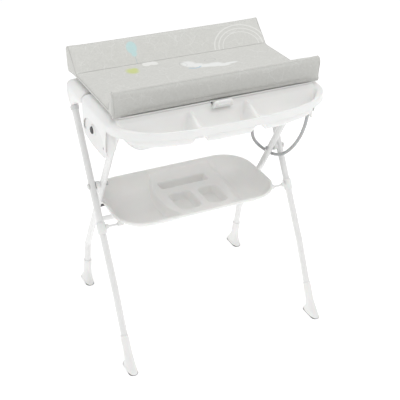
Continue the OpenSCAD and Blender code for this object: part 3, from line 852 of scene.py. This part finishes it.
def support_arm(side, word):
    """Sleeve on the rear leg's top that widens up to the tub."""
    lean = math.radians(REAR_LEAN)
    fore = np.array([0, -math.cos(lean), -math.sin(lean)])
    rings = []
    for z, wide, thick, ahead in ((764, 12.3, 12.3, 0), (764.6, 13.4, 13.4, 0), (766, 14, 14, 0),
                                  (790, 14.2, 14.2, 0), (812, 15.2, 14.6, 1), (834, 18, 14.8, 2),
                                  (856, 21.5, 14.8, 3), (880, 24, 14.8, 3), (893, 24.5, 14.6, 3),
                                  (896, 22, 13, 3)):
        c = np.array([side * REAR_LEG_X, rear_leg_y(z), z]) + fore * ahead
        flat = ease((z - 820) / 60)
        across = fore * (1 - flat) + np.array([0, -1, 0]) * flat
        ring = []
        for k in range(40):
            a = 2 * math.pi * k / 40
            p = 2 / (2 + 1.4 * flat)
            u = thick * math.copysign(abs(math.cos(a)) ** p, math.cos(a))
            v = wide * math.copysign(abs(math.sin(a)) ** p, math.sin(a))
            ring.append(tuple(c + np.array([u, 0, 0]) + across * v))
        rings.append(ring)
    loft(f"{word}_arm_sleeve", rings, "rear_frame", WHITE, [f"{word}_support_arm"])
    z = 784
    at = (side * (REAR_LEG_X + 13.6), rear_leg_y(z), z)
    lathe(f"{word}_arm_rivet_head", [(0.5, 2.4), (2.6, 2.3), (4.4, 1.5), (5, 0.3), (5, -1)], at, (side, 0, 0),
          "rear_frame", STEEL, ["arm_rivets"] if side < 0 else ())


BRACKET_TOP = 914
BRACKET = [(53, 911), (60, BRACKET_TOP), (184, BRACKET_TOP), (200, 902), (205, 872), (198, 847), (184, 830),
           (162, 828), (120, 856), (53, 878)]


def rear_bracket(side, word):
    """Moulded bracket with a broad round top edge, over the front leg's top."""
    n = 64
    outline = rounded_polygon(BRACKET, [3, 8, 14, 14, 24, 16, 16, 16, 40, 4], 4)
    pts = np.array(outline)
    seg = np.linalg.norm(np.roll(pts, -1, 0) - pts, axis=1)
    along = np.concatenate([[0], np.cumsum(seg)])
    closed = np.vstack([pts, pts[:1]])
    s = np.linspace(0, along[-1], n, endpoint=False)
    ring2 = np.stack([np.interp(s, along, closed[:, 0]), np.interp(s, along, closed[:, 1])], 1)
    middle = ring2.mean(0)
    rings = []
    # (x, how far the outline is drawn in, how far its top is lowered)
    for x, drawn, top in ((347, 2, 0), (347.6, 0.6, 0), (349, 0, 0), (356, 0, 0), (362, 0, 0.8), (368, 0, 3.4),
                          (373, 0, 7.4), (377, 0, 12.4), (380, 0.4, 18), (382, 1.2, 23), (383, 3.0, 26)):
        ring = []
        for y, z in ring2:
            v = np.array([y, z]) - middle
            v = v * (1 - drawn / max(np.linalg.norm(v), 1))
            zz = middle[1] + v[1]
            limit = BRACKET_TOP - top
            if zz > limit:
                zz = limit - 0.02 * (BRACKET_TOP - zz)
            ring.append((side * x, middle[0] + v[0], zz))
        rings.append(ring)
    loft(f"{word}_bracket_shell", rings, "front_frame", WHITE, [f"{word}_rear_bracket"])


PANEL_X = (372.5, 378)
PANEL_OUTLINE = [(43, 900), (43, 870), (47, 850), (55, 815), (60, 792), (50, 772), (-30, 762), (-134, 764),
                 (-159, 777), (-169, 802), (-169, 900)]


def side_panel(side, word):
    outline = rounded_polygon(PANEL_OUTLINE, [3, 16, 30, 30, 14, 12, 90, 30, 18, 16, 3], 5)
    x = sorted(side * face for face in PANEL_X)
    plate(f"{word}_panel_shell", outline, x, "tub", PANEL, [f"{word}_side_panel"], 1.8)
    at = (side * BUTTON[0], *BUTTON[1:])
    lathe(f"{word}_button_ring", [(12.4, -13), (12.4, 2.2), (13.2, 3.6), (15.0, 4.4), (17.4, 3.8), (18.8, 1.8),
                                  (19.2, -0.5), (19.2, -5.2)], at, (side, 0, 0), "tub", WHITE)
    lathe(f"{word}_button_cap", [(0.4, 4.6), (4, 4.7), (8, 5.4), (9.6, 6.8), (10.6, 7.6), (11.5, 7.0),
                                 (11.9, 5.6), (11.9, -1)], at, (side, 0, 0), f"{word}_button", DARK,
          [f"{word}_release_button"])


def bolt_cap(side, word):
    """White cap over the crossing bolt's head."""
    lathe(f"{word}_bolt_cap", [(10, -5), (10, -1.6), (9.2, -0.4), (6, 0.7), (0.4, 1.1)],
          (side * (FRONT_LEG_X + TUBE_R + 5.2), *CROSS), (side, 0, 0), "front_frame", WHITE)


for side, word in ((-1, "left"), (1, "right")):
    bolt_cap(side, word)
    support_arm(side, word)
    rear_bracket(side, word)
    side_panel(side, word)


# ---------------------------------------------------------------- apron webs and latch tab

def apron_web(side, word):
    """Web inside the front end of the tub's side apron."""
    rings = []
    for y, d in ((-171, 0.8), (-170, 0), (-167, 0), (-166, 0.8)):
        outline = rounded_polygon([(347.5 + d, 806 + d), (374.5 - d, 768 + d), (374.5 - d, 880 - d),
                                   (347.5 + d, 880 - d)], [8, 3, 2, 2], 4)
        rings.append([(side * x, y, z) for x, z in outline])
    loft(f"{word}_apron_web", rings, "tub", WHITE)


for side, word in ((-1, "left"), (1, "right")):
    apron_web(side, word)


def latch_tab():
    """Finger tab on the pad's front: a hooded block with a finger groove."""
    rings = []
    for y, w, z0, z1, r in ((-212, 35, 908, 924, 5), (-214, 37, 906.5, 928, 8), (-219, 38, 906, 930, 11),
                            (-223.5, 37, 907, 928.5, 11), (-225.5, 35.5, 909, 925.5, 9),
                            (-226, 33, 911, 922, 5)):
        outline = rounded_polygon([(-w, z0), (w, z0), (w - 3, z1), (-w + 9, z1)], [2, 3, r * 0.7, r], 6)
        rings.append([(x, y, z) for x, z in outline])
    loft("latch_tab", rings, "latch", WHITE, ["pad_latch"])
    groove = [[(x, y, z) for x, z in rounded_polygon([(-w, z0), (w, z0), (w, z1), (-w, z1)], [2] * 4, 4)]
              for y, w, z0, z1 in ((-225.9, 22, 912.2, 919.8), (-227.6, 20.5, 913.2, 918.8))]
    loft("latch_grip", groove, "latch", WHITE)
    tongue = [[(x, y, z) for x, z in rounded_polygon([(-17.6, 910.4), (17.6, 910.4), (17.6, 916.6),
                                                      (-17.6, 916.6)], [1] * 4, 2)]
              for y in (-213, -168.5)]
    loft("latch_tongue", tongue, "latch", WHITE)


latch_tab()


# ---------------------------------------------------------------- padded top

PROFILE = [(-208, 926), (-211.5, 934), (-206, 1004), (-199, 1013.5), (-190, 1014), (-182.5, 1006),
           (-157, 939), (-148, 937), (-74, 938.5), (0, 939), (74, 938.5), (144, 937), (152, 940), (196, 987),
           (218, 1011), (226, 1016), (235, 1013.5), (239.5, 1004), (240.5, 962), (240, 940), (235, 926)]


def pad_start():
    """Slightly small, closed start shape of the pad."""
    shrink = 1.5
    pts = np.array(PROFILE, float)
    n = len(pts)
    half = PAD_HALF_W - 1.2
    verts, faces = [], []
    xs = np.linspace(-half, half, 60)
    for x in xs:
        for y, z in pts:
            verts.append((x, y + (shrink if y < 0 else -shrink) * (abs(y) > 100) * 0.5, z))
    for i in range(len(xs) - 1):
        for k in range(n):
            a, b = i * n + k, i * n + (k + 1) % n
            faces.append((a, b, b + n, a + n))
    faces.append(tuple(range(n)))
    faces.append(tuple(reversed([(len(xs) - 1) * n + k for k in range(n)])))
    mesh = bpy.data.meshes.new("pad_start")
    mesh.from_pydata([tuple(c * MM for c in v) for v in verts], [], faces)
    obj = bpy.data.objects.new("changing_pad", mesh)
    bpy.context.scene.collection.objects.link(obj)
    return outward(obj)


def applied(obj):
    """Replaces obj's mesh with what its modifiers make of it."""
    made = bpy.data.meshes.new_from_object(obj.evaluated_get(bpy.context.evaluated_depsgraph_get()))
    obj.modifiers.clear()
    obj.data = made
    return obj


def swell(obj, voxel, pressure, frames, cap):
    """Blows the cover up a little with Blender's cloth, keeping each point within cap of its start."""
    mod = obj.modifiers.new("remesh", "REMESH")
    mod.mode = "VOXEL"
    mod.voxel_size = voxel
    applied(obj)
    start = np.array([v.co for v in obj.data.vertices])
    cloth = obj.modifiers.new("cloth", "CLOTH")
    settings = cloth.settings
    settings.quality = 5
    settings.mass = 0.35
    settings.tension_stiffness = 22
    settings.compression_stiffness = 18
    settings.shear_stiffness = 10
    settings.bending_stiffness = 1.2
    settings.use_pressure = True
    settings.uniform_pressure_force = pressure
    settings.effector_weights.gravity = 0
    cloth.collision_settings.use_self_collision = False
    scene = bpy.context.scene
    for f in range(1, frames + 1):
        scene.frame_set(f)
    applied(obj)
    scene.frame_set(1)
    now = np.array([v.co for v in obj.data.vertices])
    move = now - start
    size = np.linalg.norm(move, axis=1)
    keep = np.minimum(1, cap / np.maximum(size, 1e-9))
    now = start + move * keep[:, None]
    now[:, 2] = np.maximum(now[:, 2], (PAD_Z + 0.2) * MM)
    obj.data.vertices.foreach_set("co", now.ravel())
    obj.data.update()
    mod = obj.modifiers.new("soft", "SUBSURF")
    mod.levels = mod.render_levels = 1
    applied(obj)
    return obj


def welt(name, path, surface, radius, body, material, closed=False):
    """Thin piping laid along a path on a surface."""
    pts = []
    for a, b in zip(path, path[1:] + ([path[0]] if closed else [])):
        a, b = Vector(a), Vector(b)
        count = max(1, int((b - a).length / 6))
        pts += [a.lerp(b, k / count) for k in range(count)]
    if not closed:
        pts.append(Vector(path[-1]))
    placed = []
    for p in pts:
        hit = surface.find_nearest(p * MM)
        placed.append((hit[0] + hit[1] * radius * 0.25 * MM) / MM)
    sides = 8
    rings = []
    n = len(placed)
    for i, p in enumerate(placed):
        before = placed[i - 1] if (i or closed) else p
        after = placed[(i + 1) % n] if (i < n - 1 or closed) else p
        d = (after - before).normalized()
        u = d.cross(Vector((0.3, 0.5, 0.81))).normalized()
        v = d.cross(u)
        rings.append([tuple(p + (u * math.cos(2 * math.pi * k / sides) + v * math.sin(2 * math.pi * k / sides))
                            * radius) for k in range(sides)])
    if closed:
        rings.append(rings[0])
    return loft(name, rings, body, material, caps=not closed)


def changing_pad():
    pad = swell(pad_start(), 5 * MM, 4.0, 20, 4.5 * MM)
    finish_piece(pad, "pad", VINYL, ["pad_cushion"])
    bm = bmesh.new()
    bm.from_mesh(pad.data)
    surface = BVHTree.FromBMesh(bm)
    bm.free()
    ends = PAD_HALF_W - 5
    for word, x in (("left", -ends), ("right", ends)):
        welt(f"pad_seam_{word}", [(x, y, z) for y, z in PROFILE], surface, 1.1, "pad", SEAM, True)
    for word, y, z in (("front_top", -203, 1010), ("rear_top", 230, 1013), ("front_low", -211, 931),
                       ("rear_low", 238, 931), ("base_rear", 150, 938)):
        look = SEAM if word == "base_rear" else VINYL
        welt(f"pad_seam_{word}", [(-ends + 3, y, z), (ends - 3, y, z)], surface, 1.0, "pad", look)


changing_pad()


# ---------------------------------------------------------------- finishes of the CAD nodes kept as they are

KEPT = {
    PAINT: ["left_front_leg", "right_front_leg", "left_rear_leg", "right_rear_leg", "leg_brace_tube",
            "tray_pins"],
    SOLE: ["front_foot_soles", "rear_foot_soles"],
    STEEL: ["rear_cross_tube", "bracket_screws", "left_cross_bolt", "right_cross_bolt", "cross_nuts",
            "panel_screws", "left_button_spring", "right_button_spring", "pad_hinge_pins", "latch_spring"],
    COLLAR: ["tube_collars"],
    DARK: ["tray_rest_pegs", "drain_plug"],
    WHITE: ["left_tray_clip", "right_tray_clip", "left_tub_hinge", "right_tub_hinge", "pad_hinge_posts",
            "drain_outlet", "drain_nut", "hose_clip", "pad_board", "pad_hinge_ears", "latch_housing",
            "cross_spacers", "hose_end_cap"],
}
ROUND_EDGES = {
    1.2: ["left_tray_clip", "right_tray_clip", "left_tub_hinge", "right_tub_hinge"],
    1.0: ["pad_board"],
    0.8: ["drain_outlet", "drain_nut", "hose_clip", "pad_hinge_ears", "pad_hinge_posts", "latch_housing",
          "front_foot_soles", "rear_foot_soles", "hose_end_cap", "left_cross_bolt", "right_cross_bolt",
          "drain_plug"],
    0.6: ["cross_spacers"],
}
edge_of = {name: width for width, names in ROUND_EDGES.items() for name in names}
for material, names in KEPT.items():
    for name in names:
        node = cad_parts[name]
        node.data.materials.clear()
        node.data.materials.append(material)
        if name in edge_of:
            weld = node.modifiers.new("weld", "WELD")
            weld.merge_threshold = 0.00001
            bevel(node, edge_of[name], 2)

# ---------------------------------------------------------------- floor and light

FLOOR_HALF = 60
floor_mesh = bpy.data.meshes.new("floor")
floor_mesh.from_pydata([(x * FLOOR_HALF, y * FLOOR_HALF, 0) for x, y in ((-1, -1), (1, -1), (1, 1), (-1, 1))],
                       [], [(0, 1, 2, 3)])
floor = bpy.data.objects.new("floor", floor_mesh)
bpy.context.scene.collection.objects.link(floor)
floor_look = Look("floor_white")
floor_look.set(Roughness=0.75, Specular_IOR_Level=0.2)
floor_look.set(Emission_Color=(1, 1, 1, 1), Emission_Strength=0.42)
floor_look.colour(floor_look.mix(floor_look.noise(3, 2), (0.93, 0.93, 0.93), (0.915, 0.915, 0.915)))
floor.data.materials.append(floor_look.material)

world = bpy.data.worlds.new("studio")
world.use_nodes = True
sky = world.node_tree.nodes["Background"].inputs
sky["Color"].default_value = (1, 1, 1, 1)
sky["Strength"].default_value = 0.57
bpy.context.scene.world = world
bpy.context.scene.view_settings.view_transform = "Standard"


def soft_light(name, place, size, watts):
    data = bpy.data.lights.new(name, "AREA")
    data.shape = "RECTANGLE"
    data.size = data.size_y = size
    data.energy = watts
    lamp = bpy.data.objects.new(name, data)
    lamp.location = place
    lamp.rotation_euler = (Vector((0, 0, 0.5)) - Vector(place)).to_track_quat("-Z", "Y").to_euler()
    bpy.context.scene.collection.objects.link(lamp)


soft_light("key_front", (0.4, -2.1, 4.1), 2.0, 28)
soft_light("key_right", (2.9, -1.4, 3.2), 2.0, 19)
soft_light("top", (0.3, 0.2, 4.2), 2.2, 20)
soft_light("left_fill", (-3.0, 0.0, 2.6), 2.2, 18)
